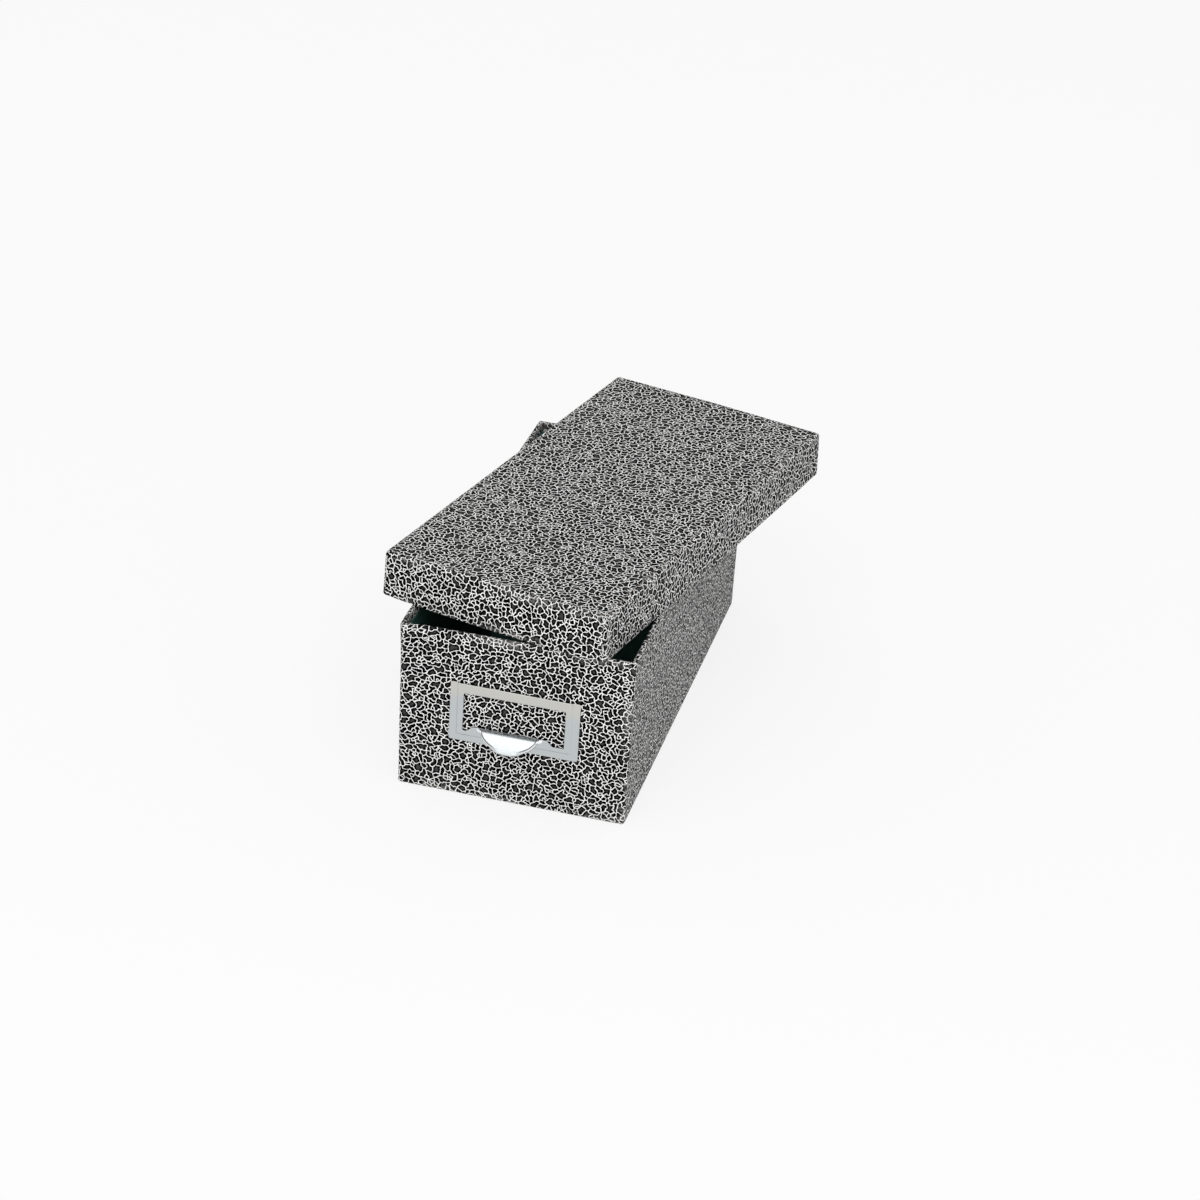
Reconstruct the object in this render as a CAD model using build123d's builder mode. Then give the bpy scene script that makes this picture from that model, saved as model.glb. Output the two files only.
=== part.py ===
from build123d import *
import os
from math import cos, radians, sin

# Index card box: a paper-covered fibreboard tray with a loose lid laid askew on its rim.
# Millimetres, +Z up, origin at the centre of the underside, label holder facing -Y.

# Base tray, outside sizes
base_width = 140.0
base_length = 292.0
base_height = 110.0

# Layers of a wall, from the outside in
wrap_thickness = 0.3
stay_thickness = 0.2
board_thickness = 2.0
lining_thickness = 0.3
bottom_sheet_thickness = 0.3

# Soft edges of the covering paper
corner_radius = 3.5
floor_edge_radius = 3.0
rim_radius = 0.6

# Paper that is turned over an edge, and what covers its raw edge
turn_in = 8.0
turn_under = 12.0
lining_gap = 0.2
bottom_sheet_inset = 4.5
bottom_sheet_radius = 1.5

# Tape round each corner of the boards
stay_leg = 16.0
stay_end_gap = 2.0

# Lid: it drops over the base with this much room on each side
lid_side_room = 0.9
lid_height = 29.0
lid_turn = -12.7
lid_shift_x = 13.6
lid_shift_y = 10.3
lid_rest_gap = 0.1

# Label holder: one stamping, placed by its centre above the underside
label_centre_height = 57.0
label_width = 79.0
label_height = 39.0
label_corner_radius = 1.0
metal_thickness = 0.5
flange_width = 4.2
card_room = 0.9
window_width = 62.0
window_top_rail = 6.2
window_bottom_rail = 7.5

# Finger pull: a half-moon tongue bent outwards and down from the window's lower edge
pull_half_width = 18.0
pull_bend_radius = 8.3
pull_reach = 12.2
pull_rise = 1.7
ear_rise = 2.5
ear_peak_offset = 3.6
ear_foot_offset = 6.4

# Prongs that go through the front wall and are bent over inside it
prong_width = 4.0
prong_spacing = 22.0
prong_foot = 6.0
prong_room = 0.1

# Sizes that follow from those above
wall_thickness = wrap_thickness + board_thickness + lining_thickness
lid_width = base_width + 2 * (lid_side_room + wall_thickness)
lid_length = base_length + 2 * (lid_side_room + wall_thickness)
board_offset = wrap_thickness
inner_offset = wrap_thickness + board_thickness

base_plane = Plane.XY
lid_plane = Plane(
    origin=(lid_shift_x, lid_shift_y, base_height + lid_rest_gap),
    x_dir=(cos(radians(lid_turn)), sin(radians(lid_turn)), 0),
    z_dir=(0, 0, 1),
)
front_plane = Plane(
    origin=(0, -base_length / 2, label_centre_height),
    x_dir=(1, 0, 0),
    z_dir=(0, -1, 0),
)

# Heights in the base, from the underside up
base_wrap_low = bottom_sheet_thickness
base_board_low = base_wrap_low + wrap_thickness
base_floor_top = base_board_low + board_thickness
base_board_high = base_height - wrap_thickness
base_turn_low = base_height - turn_in

# Heights in the lid, from the skirt's lower edge up
lid_board_low = wrap_thickness
lid_board_high = lid_height - wrap_thickness
lid_ceiling = lid_board_high - board_thickness

os.makedirs("parts", exist_ok=True)


def save(part, name):
    """Label a finished piece and write it as its own file."""
    part.label = name
    export_step(part, f"parts/{name}.step")


def soft_block(plane, width, length, low, high, side_radius, end_radius, soft_end):
    """A block with soft upright edges and one soft end: 0 is the lower end, -1 the upper."""
    with BuildPart() as block:
        with BuildSketch(plane.offset(low)):
            RectangleRounded(width, length, side_radius)
        extrude(amount=high - low)
        fillet(block.faces().sort_by(Axis.Z)[soft_end].edges(), end_radius)
    return block.part


def ring(plane, width, length, low, high, outer_offset, inner_offset_from_edge):
    """A square-cornered ring between two distances in from the tray's outer faces."""
    with BuildPart() as band:
        with BuildSketch(plane.offset(low)):
            Rectangle(width - 2 * outer_offset, length - 2 * outer_offset)
            Rectangle(width - 2 * inner_offset_from_edge, length - 2 * inner_offset_from_edge, mode=Mode.SUBTRACT)
        extrude(amount=high - low)
    return band.part


def corner_stay(plane, width, length, low, high, side_x, side_y):
    """Tape bent round one upright corner of the boards, pressed flush into them."""
    with BuildPart() as stay:
        with BuildSketch(plane.offset(low)):
            RectangleRounded(
                width - 2 * board_offset,
                length - 2 * board_offset,
                corner_radius - board_offset,
            )
            RectangleRounded(
                width - 2 * (board_offset + stay_thickness),
                length - 2 * (board_offset + stay_thickness),
                corner_radius - board_offset - stay_thickness,
                mode=Mode.SUBTRACT,
            )
            with Locations((side_x * (width - stay_leg) / 2, side_y * (length - stay_leg) / 2)):
                Rectangle(stay_leg, stay_leg, mode=Mode.INTERSECT)
        extrude(amount=high - low)
    return stay.part


def board(plane, form, centre_x, centre_y, size_x, size_y, low, high, cuts):
    """A flat board trimmed to the soft outline of its tray, with rebates and slots taken out."""
    with BuildPart() as panel:
        with BuildSketch(plane.offset(low)):
            with Locations((centre_x, centre_y)):
                Rectangle(size_x, size_y)
        extrude(amount=high - low)
        add(form, mode=Mode.INTERSECT)
        for cut in cuts:
            add(cut, mode=Mode.SUBTRACT)
    return panel.part


def prong_boxes(depth_low, depth_high, grow, foot):
    """The four prongs, or their feet, between two depths behind the front face."""
    with BuildPart() as prongs:
        for side in (-1, 1):
            edge = side * label_width / 2
            reach = prong_foot if foot else metal_thickness
            with BuildSketch(front_plane.offset(-depth_high)):
                with Locations(
                    (edge - side * reach / 2, prong_spacing / 2),
                    (edge - side * reach / 2, -prong_spacing / 2),
                ):
                    Rectangle(reach + 2 * grow, prong_width + 2 * grow)
            extrude(amount=depth_high - depth_low)
    return prongs.part


# Corner tapes of both trays
corners = {
    "front_left": (-1, -1),
    "front_right": (1, -1),
    "rear_left": (-1, 1),
    "rear_right": (1, 1),
}
base_stay_low = base_wrap_low + floor_edge_radius + stay_end_gap
base_stay_high = base_board_high - stay_end_gap
lid_stay_low = lid_board_low + stay_end_gap
lid_stay_high = lid_height - floor_edge_radius - stay_end_gap
base_stays = []
lid_stays = []
for corner, (side_x, side_y) in corners.items():
    stay = corner_stay(base_plane, base_width, base_length, base_stay_low, base_stay_high, side_x, side_y)
    save(stay, f"base_stay_{corner}")
    base_stays.append(stay)
    stay = corner_stay(lid_plane, lid_width, lid_length, lid_stay_low, lid_stay_high, side_x, side_y)
    save(stay, f"lid_stay_{corner}")
    lid_stays.append(stay)

# Slots and pockets that the prongs of the label holder need in the front wall
prong_slots = prong_boxes(0, inner_offset, prong_room, False)
prong_pockets = prong_boxes(inner_offset - metal_thickness, inner_offset, prong_room, True)

# Base boards: the sides run the full length, the front and rear stand between them, all on the floor
base_form = soft_block(
    base_plane,
    base_width - 2 * board_offset,
    base_length - 2 * board_offset,
    base_board_low,
    base_board_high,
    corner_radius - board_offset,
    floor_edge_radius - board_offset,
    0,
)
side_centre = (base_width - 2 * board_offset - board_thickness) / 2
end_centre = (base_length - 2 * board_offset - board_thickness) / 2
between_sides = base_width - 2 * inner_offset

base_bottom_board = board(
    base_plane, base_form, 0, 0, base_width, base_length, base_board_low, base_floor_top, []
)
save(base_bottom_board, "base_bottom_board")
base_left_board = board(
    base_plane, base_form, -side_centre, 0, board_thickness, base_length,
    base_floor_top, base_board_high, base_stays,
)
save(base_left_board, "base_left_board")
base_right_board = board(
    base_plane, base_form, side_centre, 0, board_thickness, base_length,
    base_floor_top, base_board_high, base_stays,
)
save(base_right_board, "base_right_board")
base_front_board = board(
    base_plane, base_form, 0, -end_centre, between_sides, board_thickness,
    base_floor_top, base_board_high, base_stays + [prong_slots, prong_pockets],
)
save(base_front_board, "base_front_board")
base_rear_board = board(
    base_plane, base_form, 0, end_centre, between_sides, board_thickness,
    base_floor_top, base_board_high, base_stays,
)
save(base_rear_board, "base_rear_board")

# Covering of the base: round the walls, over the rim into the box and under the floor
base_skin = soft_block(
    base_plane, base_width, base_length, base_wrap_low, base_height,
    corner_radius, floor_edge_radius, 0,
)
base_turn_in = ring(
    base_plane, base_width, base_length, base_turn_low, base_height - wrap_thickness,
    inner_offset, wall_thickness,
)
with BuildPart() as base_wrap:
    add(base_skin)
    fillet(base_wrap.faces().sort_by(Axis.Z)[-1].edges(), rim_radius)
    add(base_form, mode=Mode.SUBTRACT)
    with BuildSketch(base_plane.offset(base_board_high)):
        Rectangle(base_width - 2 * wall_thickness, base_length - 2 * wall_thickness)
    extrude(amount=wrap_thickness, mode=Mode.SUBTRACT)
    with BuildSketch(base_plane.offset(base_wrap_low)):
        Rectangle(base_width - 2 * turn_under, base_length - 2 * turn_under)
    extrude(amount=wrap_thickness, mode=Mode.SUBTRACT)
    add(base_turn_in)
    add(prong_slots, mode=Mode.SUBTRACT)
save(base_wrap.part, "base_wrap")

# Paper on the underside, over the raw edge of the covering
with BuildPart() as base_bottom_sheet:
    with BuildSketch(base_plane):
        RectangleRounded(
            base_width - 2 * bottom_sheet_inset,
            base_length - 2 * bottom_sheet_inset,
            bottom_sheet_radius,
        )
    extrude(amount=bottom_sheet_thickness)
save(base_bottom_sheet.part, "base_bottom_sheet")

# Dark lining of the base
base_wall_lining = ring(
    base_plane, base_width, base_length, base_floor_top, base_turn_low - lining_gap,
    inner_offset, wall_thickness,
)
save(base_wall_lining, "base_wall_lining")
with BuildPart() as base_floor_lining:
    with BuildSketch(base_plane.offset(base_floor_top)):
        Rectangle(base_width - 2 * wall_thickness, base_length - 2 * wall_thickness)
    extrude(amount=lining_thickness)
save(base_floor_lining.part, "base_floor_lining")

# Lid boards: a full top, side skirts of the full length, end skirts between them
lid_form = soft_block(
    lid_plane,
    lid_width - 2 * board_offset,
    lid_length - 2 * board_offset,
    lid_board_low,
    lid_board_high,
    corner_radius - board_offset,
    floor_edge_radius - board_offset,
    -1,
)
lid_side_centre = (lid_width - 2 * board_offset - board_thickness) / 2
lid_end_centre = (lid_length - 2 * board_offset - board_thickness) / 2
lid_between_sides = lid_width - 2 * inner_offset

lid_top_board = board(
    lid_plane, lid_form, 0, 0, lid_width, lid_length, lid_ceiling, lid_board_high, []
)
save(lid_top_board, "lid_top_board")
lid_left_board = board(
    lid_plane, lid_form, -lid_side_centre, 0, board_thickness, lid_length,
    lid_board_low, lid_ceiling, lid_stays,
)
save(lid_left_board, "lid_left_board")
lid_right_board = board(
    lid_plane, lid_form, lid_side_centre, 0, board_thickness, lid_length,
    lid_board_low, lid_ceiling, lid_stays,
)
save(lid_right_board, "lid_right_board")
lid_front_board = board(
    lid_plane, lid_form, 0, -lid_end_centre, lid_between_sides, board_thickness,
    lid_board_low, lid_ceiling, lid_stays,
)
save(lid_front_board, "lid_front_board")
lid_rear_board = board(
    lid_plane, lid_form, 0, lid_end_centre, lid_between_sides, board_thickness,
    lid_board_low, lid_ceiling, lid_stays,
)
save(lid_rear_board, "lid_rear_board")

# Covering of the lid: one sheet over the top and skirts, turned in round their lower edge
lid_skin = soft_block(
    lid_plane, lid_width, lid_length, 0, lid_height,
    corner_radius, floor_edge_radius, -1,
)
lid_turn_in = ring(
    lid_plane, lid_width, lid_length, wrap_thickness, turn_in, inner_offset, wall_thickness
)
with BuildPart() as lid_wrap:
    add(lid_skin)
    fillet(lid_wrap.faces().sort_by(Axis.Z)[0].edges(), rim_radius)
    add(lid_form, mode=Mode.SUBTRACT)
    with BuildSketch(lid_plane):
        Rectangle(lid_width - 2 * wall_thickness, lid_length - 2 * wall_thickness)
    extrude(amount=wrap_thickness, mode=Mode.SUBTRACT)
    add(lid_turn_in)
save(lid_wrap.part, "lid_wrap")

# Dark lining of the lid
lid_wall_lining = ring(
    lid_plane, lid_width, lid_length, turn_in + lining_gap, lid_ceiling, inner_offset, wall_thickness
)
save(lid_wall_lining, "lid_wall_lining")
with BuildPart() as lid_top_lining:
    with BuildSketch(lid_plane.offset(lid_ceiling - lining_thickness)):
        Rectangle(lid_width - 2 * wall_thickness, lid_length - 2 * wall_thickness)
    extrude(amount=lining_thickness)
save(lid_top_lining.part, "lid_top_lining")

# Finger pull: a strip bent round a cylinder, trimmed to a half-moon seen square to its chord
lip_face = card_room + metal_thickness
window_low = window_bottom_rail - label_height / 2
window_high = label_height / 2 - window_top_rail
pull_top = window_low + pull_rise
pull_plane = Plane(
    origin=(0, -base_length / 2, label_centre_height),
    x_dir=(0, -1, 0),
    z_dir=(-1, 0, 0),
)
trim_plane = Plane(
    origin=(0, -base_length / 2 - card_room, label_centre_height + pull_top),
    x_dir=(1, 0, 0),
    z_dir=(0, -1, 1),
)
with BuildPart() as finger_pull:
    with BuildSketch(pull_plane):
        with Locations((card_room, pull_top - pull_bend_radius)):
            Circle(pull_bend_radius)
            Circle(pull_bend_radius - metal_thickness, mode=Mode.SUBTRACT)
            Rectangle(
                pull_bend_radius, pull_bend_radius, align=(Align.MIN, Align.MIN), mode=Mode.INTERSECT
            )
    extrude(amount=pull_half_width, both=True)
    with BuildSketch(trim_plane):
        Ellipse(pull_half_width, pull_reach)
    extrude(amount=pull_bend_radius, both=True, mode=Mode.INTERSECT)

# Label holder: flange on the paper, lip raised for a card, window with ears beside the pull
with BuildPart() as label_holder:
    with BuildSketch(front_plane):
        RectangleRounded(label_width, label_height, label_corner_radius)
    extrude(amount=metal_thickness)
    with BuildSketch(front_plane):
        with Locations((0, label_height / 2)):
            Rectangle(
                label_width - 2 * flange_width, label_height - flange_width, align=(Align.CENTER, Align.MAX)
            )
    extrude(amount=lip_face)
    with BuildSketch(front_plane):
        with Locations((0, label_height / 2)):
            Rectangle(
                label_width - 2 * (flange_width + metal_thickness),
                label_height - flange_width - metal_thickness,
                align=(Align.CENTER, Align.MAX),
            )
    extrude(amount=card_room, mode=Mode.SUBTRACT)
    with BuildSketch(front_plane):
        with BuildLine():
            Polyline(
                (-window_width / 2, window_low),
                (-pull_half_width - ear_foot_offset, window_low),
                (-pull_half_width - ear_peak_offset, window_low + ear_rise),
                (-pull_half_width, pull_top),
                (pull_half_width, pull_top),
                (pull_half_width + ear_peak_offset, window_low + ear_rise),
                (pull_half_width + ear_foot_offset, window_low),
                (window_width / 2, window_low),
                (window_width / 2, window_high),
                (-window_width / 2, window_high),
                close=True,
            )
        make_face()
    extrude(amount=lip_face, mode=Mode.SUBTRACT)
    add(finger_pull.part)
    add(prong_boxes(0, inner_offset, 0, False))
    add(prong_boxes(inner_offset - metal_thickness, inner_offset, 0, True))
save(label_holder.part, "label_holder")
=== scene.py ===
from math import atan2, cos, degrees, pi, radians, sin

import bmesh
import bpy
import numpy as np
from mathutils import Matrix, Vector


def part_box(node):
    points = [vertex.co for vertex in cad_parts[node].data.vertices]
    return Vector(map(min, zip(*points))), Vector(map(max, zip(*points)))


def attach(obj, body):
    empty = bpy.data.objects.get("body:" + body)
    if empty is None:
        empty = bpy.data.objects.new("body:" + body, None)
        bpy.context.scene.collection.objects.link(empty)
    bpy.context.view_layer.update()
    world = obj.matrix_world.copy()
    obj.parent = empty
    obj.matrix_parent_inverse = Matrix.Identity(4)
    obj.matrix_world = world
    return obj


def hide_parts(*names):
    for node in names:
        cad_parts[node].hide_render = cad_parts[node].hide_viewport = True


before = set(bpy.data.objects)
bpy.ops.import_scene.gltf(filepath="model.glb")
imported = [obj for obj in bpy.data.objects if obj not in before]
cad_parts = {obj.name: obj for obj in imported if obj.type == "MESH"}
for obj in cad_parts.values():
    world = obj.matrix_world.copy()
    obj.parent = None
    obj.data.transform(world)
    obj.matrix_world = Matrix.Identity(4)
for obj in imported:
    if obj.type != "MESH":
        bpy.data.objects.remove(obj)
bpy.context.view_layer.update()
mm = 0.001
weldWithin = 0.002 * mm

# Index card box: marbled paper over fibreboard, a dark lining and a stamped label holder.
# Lengths are metres on the frame's own axes: the label holder faces -Y and Z is up.


def smoothStep(low, high, value):
    # 0 below low, 1 above high, 3t^2 - 2t^3 between them
    t = np.clip((value - low) / (high - low), 0, 1)
    return t * t * (3 - 2 * t)


def run(start, end, step):
    # Points evenly spaced from start to end, both included
    start, end = np.array(start, float), np.array(end, float)
    count = max(1, round(float(np.linalg.norm(end - start)) / step))
    return start + (end - start) * np.linspace(0, 1, count + 1)[:, None]


def bend(centre, radius, fromDegrees, toDegrees, steps):
    # Arc points: centre + radius * (cos a, sin a)
    a = np.radians(np.linspace(fromDegrees, toDegrees, steps + 1))
    return np.array(centre) + radius * np.stack([np.cos(a), np.sin(a)], 1)


def joinRuns(*runs):
    # One line from several, each starting where the one before it ends
    return np.vstack([runs[0]] + [r[1:] for r in runs[1:]])


def travelled(line):
    # Distance along a line at each of its points
    return np.concatenate([[0], np.cumsum(np.linalg.norm(np.diff(line, axis=0), axis=1))])


def squareTo(line):
    # Unit vectors square to a line: its direction (x, y) turned to (y, -x)
    along = np.gradient(line, axis=0)
    along /= np.linalg.norm(along, axis=1)[:, None]
    return np.stack([along[:, 1], -along[:, 0]], 1)


def paperSection(front, thickness):
    # Closed section of a sheet: its front line, and before it the same in reverse, one thickness behind.
    # Gives inset from the tray's outer face, height, distance along the sheet and 1 on the front, as columns
    back = front + thickness * squareTo(front)
    travel = travelled(front)
    rows = np.vstack([back[::-1], front])
    face = np.concatenate([np.zeros(len(front)), np.ones(len(front))])
    return rows[:, :1], rows[:, 1:], np.concatenate([travel[::-1], travel])[:, None], face[:, None]


def quadGrid(rows, columns, closeRows=False, closeColumns=False):
    # Vertex numbers of the quads of a grid, which may close on itself either way
    index = np.arange(rows * columns).reshape(rows, columns)
    if closeRows:
        index = np.vstack([index, index[:1]])
    if closeColumns:
        index = np.hstack([index, index[:, :1]])
    return np.stack([index[:-1, :-1], index[:-1, 1:], index[1:, 1:], index[1:, :-1]], -1).reshape(-1, 4)


def intoScene(name, data):
    made = bpy.data.objects.new(name, data)
    bpy.context.scene.collection.objects.link(made)
    return made


def makePiece(name, points, quads, material, uv=None, masks=None):
    # points (n, 3), quads (m, 4), uv (m, 4, 2) in metres of paper, masks of (n,) values from 0 to 1 by name
    mesh = bpy.data.meshes.new(name)
    mesh.from_pydata(points.tolist(), [], quads.tolist())
    if uv is not None:
        mesh.uv_layers.new(name="sheet").data.foreach_set("uv", uv.astype(np.float32).ravel())
    for label, mask in (masks or {}).items():
        mesh.attributes.new(label, "FLOAT", "POINT").data.foreach_set("value", mask.astype(np.float32))
    shape = bmesh.new()
    shape.from_mesh(mesh)
    bmesh.ops.remove_doubles(shape, verts=shape.verts, dist=weldWithin)
    shape.to_mesh(mesh)
    shape.free()
    mesh.shade_smooth()
    mesh.materials.append(material)
    return intoScene(name, mesh)


# Both trays, read from the frame

wrapLow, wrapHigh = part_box("base_wrap")
wallThickness = wrapHigh.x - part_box("base_floor_lining")[1].x
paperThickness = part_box("base_bottom_board")[0].z - wrapLow.z
cornerRadius = 2.2 * mm
baseTray = {"halfWidth": wrapHigh.x, "halfLength": wrapHigh.y, "low": wrapLow.z, "high": wrapHigh.z}


def readLid():
    # The ceiling lining is a plain rectangle, so its outermost corners give the lid's place and turn
    corners = np.array([v.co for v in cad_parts["lid_top_lining"].data.vertices])[:, :2]
    left, right = corners[corners[:, 0].argmin()], corners[corners[:, 0].argmax()]
    near = corners[corners[:, 1].argmin()]
    low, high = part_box("lid_wrap")
    return {
        "halfWidth": float(np.linalg.norm(near - left)) / 2 + wallThickness,
        "halfLength": float(np.linalg.norm(right - near)) / 2 + wallThickness,
        "high": high.z - low.z,
        "turn": atan2(near[1] - left[1], near[0] - left[0]),
        "centre": np.array([(left[0] + right[0]) / 2, (left[1] + right[1]) / 2, low.z]),
    }


lidTray = readLid()
print("lid turned", round(degrees(lidTray["turn"]), 1), "degrees on the rim")

wallBand = (12 * mm, 4 * mm)  # insets at which a place starts to belong to a wall, and wholly does
baseSettle = {
    "frontLean": 1.6 * mm,  # at the top left
    "leanMiddle": 0.7,  # share of it at the middle
    "leanSkew": 0.3,
    "leanFrom": 0.72,  # share of the height where the lean starts
    "cornerLean": 1.7 * mm,
    "cornerReach": (28 * mm, 70 * mm),  # how far the front and the side give way to the corner
    "cornerDip": 1.4 * mm,
    "dipWidth": 9 * mm,
}
lidSettle = {
    "endBow": 3.6 * mm,
    "endSkew": 0.15,  # more bow at the right, less at the left
    "bowPower": 1.2,  # how the bow grows towards the lower edge
    "sideFlare": 1.0 * mm,
    "sideBow": 0.6 * mm,
    "stiffEdge": 2 * mm,  # strip under the top that stays upright
    "dish": 0.5 * mm,
    "dishBand": (0.7, 0.85),  # shares of the height between which the dish sets in
    "droop": 1.5 * mm,
}


def settleBase(points):
    # The handled rim of the base. Its front wall leans out towards the top, most at the left, and the front
    # left corner is pushed aside in step with its height and worn down by exp(-(distance / width)^2)
    x, y, z = points[..., 0], points[..., 1], points[..., 2]
    halfX, halfY, high = baseTray["halfWidth"], baseTray["halfLength"], baseTray["high"]
    reachX, reachY = baseSettle["cornerReach"]
    left = smoothStep(halfX - reachX, halfX, -x)
    front = smoothStep(halfY - reachY, halfY, -y)
    onFront = smoothStep(halfY - wallBand[0], halfY - wallBand[1], -y)
    upper = smoothStep(baseSettle["leanFrom"] * high, high, z)
    spread = baseSettle["leanMiddle"] - baseSettle["leanSkew"] * x / halfX
    corner = np.exp(-((x + halfX) ** 2 + (y + halfY) ** 2) / baseSettle["dipWidth"] ** 2)
    moved = points.copy()
    moved[..., 0] -= baseSettle["cornerLean"] * left * front * np.clip(z / high, 0, 1)
    moved[..., 1] -= baseSettle["frontLean"] * onFront * upper * spread
    moved[..., 2] -= baseSettle["cornerDip"] * corner * upper
    return moved


def settleLid(points):
    # The soft shape of a handled lid, in its own axes. Skirts flare at their lower edge and bow as
    # 1 - (y/half)^2 along the sides and 1 - |x/half|^3 along the ends, the top sinks between all four,
    # and the rear right corner, which nothing carries, droops by the product of x and y
    x, y, z = points[..., 0], points[..., 1], points[..., 2]
    halfX, halfY, high = lidTray["halfWidth"], lidTray["halfLength"], lidTray["high"]
    drop = np.clip(1 - z / (high - lidSettle["stiffEdge"]), 0, 1)
    crownX, crownY = 1 - np.clip(x / halfX, -1, 1) ** 2, 1 - np.clip(y / halfY, -1, 1) ** 2
    nearEnd = smoothStep(halfY - wallBand[0], halfY - wallBand[1], abs(y))
    nearSide = smoothStep(halfX - wallBand[0], halfX - wallBand[1], abs(x))
    dishLow, dishHigh = lidSettle["dishBand"]
    flatCrown = 1 - np.clip(abs(x) / halfX, 0, 1) ** 3
    bowed = lidSettle["endBow"] * flatCrown * (1 + lidSettle["endSkew"] * x / halfX)
    moved = points.copy()
    moved[..., 0] += np.sign(x) * (lidSettle["sideFlare"] + lidSettle["sideBow"] * crownY) * nearSide * drop
    moved[..., 1] += np.sign(y) * bowed * nearEnd * drop ** lidSettle["bowPower"]
    moved[..., 2] -= lidSettle["dish"] * crownX * crownY * smoothStep(dishLow * high, dishHigh * high, z)
    moved[..., 2] -= lidSettle["droop"] * np.clip(x / halfX, 0, 1) * np.clip(y / halfY, 0, 1)
    return moved


lidTurn = np.array(Matrix.Rotation(lidTray["turn"], 3, "Z"))


def placeLid(points):
    return settleLid(points) @ lidTurn.T + lidTray["centre"]


# Stations round a tray

loopSteps = {"straight": 6 * mm, "bend": 8, "nearBend": (0.4 * mm, 1.4 * mm, 3.5 * mm)}
leastRadius = 0.02 * mm
cornerSigns = np.array([(1, -1), (1, 1), (-1, 1), (-1, -1)])  # the corner at the end of each side
sideAlong = np.array([(1, 0), (0, 1), (-1, 0), (0, -1)])  # front, right, rear, left
sideOut = np.array([(0, -1), (1, 0), (0, 1), (-1, 0)])


def trayLoop(tray, marks=None):
    # Stations anticlockwise from the front left: each side (front, right, rear, left), then its corner bend.
    # marks adds stations to a side, as distances from its start
    side, share, angle, onBend = [], [], [], []
    for i in range(4):
        length = 2 * ((tray["halfWidth"] if i % 2 == 0 else tray["halfLength"]) - cornerRadius)
        near = np.array(loopSteps["nearBend"]) / length
        even = np.linspace(0, 1, round(length / loopSteps["straight"]) + 1)[1:-1]
        marked = np.array((marks or {}).get(i, [])) / length
        shares = np.sort(np.concatenate([[0], near, even, 1 - near, marked]))
        turned = np.arange(loopSteps["bend"]) / loopSteps["bend"]
        side += [i] * (len(shares) + len(turned))
        share += [*shares, *np.ones(len(turned))]
        angle += [*(np.zeros(len(shares)) + (i - 1) * pi / 2), *((i - 1 + turned) * pi / 2)]
        onBend += [False] * len(shares) + [True] * len(turned)
    columns = {"side": side, "share": share, "angle": angle, "onBend": onBend}
    loop = {label: np.array(values) for label, values in columns.items()}
    outer = loopPoints(tray, loop, np.zeros((1, 1)), np.zeros((1, 1)))[0]
    loop["travel"] = travelled(np.vstack([outer, outer[:1]]))
    return loop


def loopPoints(tray, loop, inset, height):
    # Point = the way between two corner centres + (corner radius - inset) along the outward look
    reach = np.maximum(cornerRadius - inset, leastRadius)
    fromSign, toSign = cornerSigns[loop["side"] - 1], cornerSigns[loop["side"]]
    sign = fromSign + (toSign - fromSign) * loop["share"][:, None]
    x = sign[:, 0] * (tray["halfWidth"] - inset - reach) + reach * np.cos(loop["angle"])
    y = sign[:, 1] * (tray["halfLength"] - inset - reach) + reach * np.sin(loop["angle"])
    return np.stack([x, y, np.broadcast_to(height, x.shape)], -1)


foldTurn = 0.1  # radians between two steps of a section that make a fold


def edgeNearness(loop, inset, height, travel, width):
    # 1 on an upright corner or where the sheet folds, falling off as exp(-(distance / width)^2)
    gap = abs(loop["travel"][:-1, None] - loop["travel"][:-1][loop["onBend"]]).min(1)
    step = np.diff(np.hstack([inset, height]), axis=0, append=0)
    heading = np.unwrap(np.arctan2(step[:, 1], step[:, 0]))
    folded = travel[1:][abs(np.diff(heading)) > foldTurn]
    fold = abs(travel - folded.ravel()).min(1)
    return np.maximum(np.exp(-((gap / width) ** 2))[None], np.exp(-((fold / width) ** 2))[:, None])


def paperWaves(along, across, height):
    # Slight unevenness of pasted paper: a broad wave sin * sin, a slanted one and a fine one, sin of a sum.
    # Their shares add up to 1.9
    broad = np.sin(along / (19 * mm) + 1.1) * np.sin(across / (23 * mm) + 0.4)
    slanted = np.sin(along / (11 * mm) - across / (17 * mm) + 2.3)
    fine = np.sin(along / (6.1 * mm) + across / (7.3 * mm))
    return height / 1.9 * (broad + 0.6 * slanted + 0.3 * fine)


def faceCorners(start, end, row, nextRow):
    # Values at the four corners of every quad, from its column's two ends and its two rows
    start, end, row, nextRow = np.broadcast_arrays(start, end, row, nextRow)
    return np.stack([start, end, end, start], -1), np.stack([row, row, nextRow, nextRow], -1)


# Shader helpers


def addNode(tree, kind, inputs=None, **settings):
    made = tree.nodes.new(kind)
    for name, value in settings.items():
        setattr(made, name, value)
    for socket, value in (inputs or {}).items():
        feed(tree, made.inputs[socket], value)
    return made


def feed(tree, socket, value):
    if isinstance(value, bpy.types.NodeSocket):
        tree.links.new(value, socket)
    else:
        socket.default_value = value


def maths(tree, operation, a, b=0.0):
    return addNode(tree, "ShaderNodeMath", {0: a, 1: b}, operation=operation).outputs[0]


def plus(tree, a, b):
    return maths(tree, "ADD", a, b)


def times(tree, a, b):
    return maths(tree, "MULTIPLY", a, b)


def vectorMaths(tree, operation, a, b):
    slot = "Scale" if operation == "SCALE" else 1
    return addNode(tree, "ShaderNodeVectorMath", {0: a, slot: b}, operation=operation).outputs[0]


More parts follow.
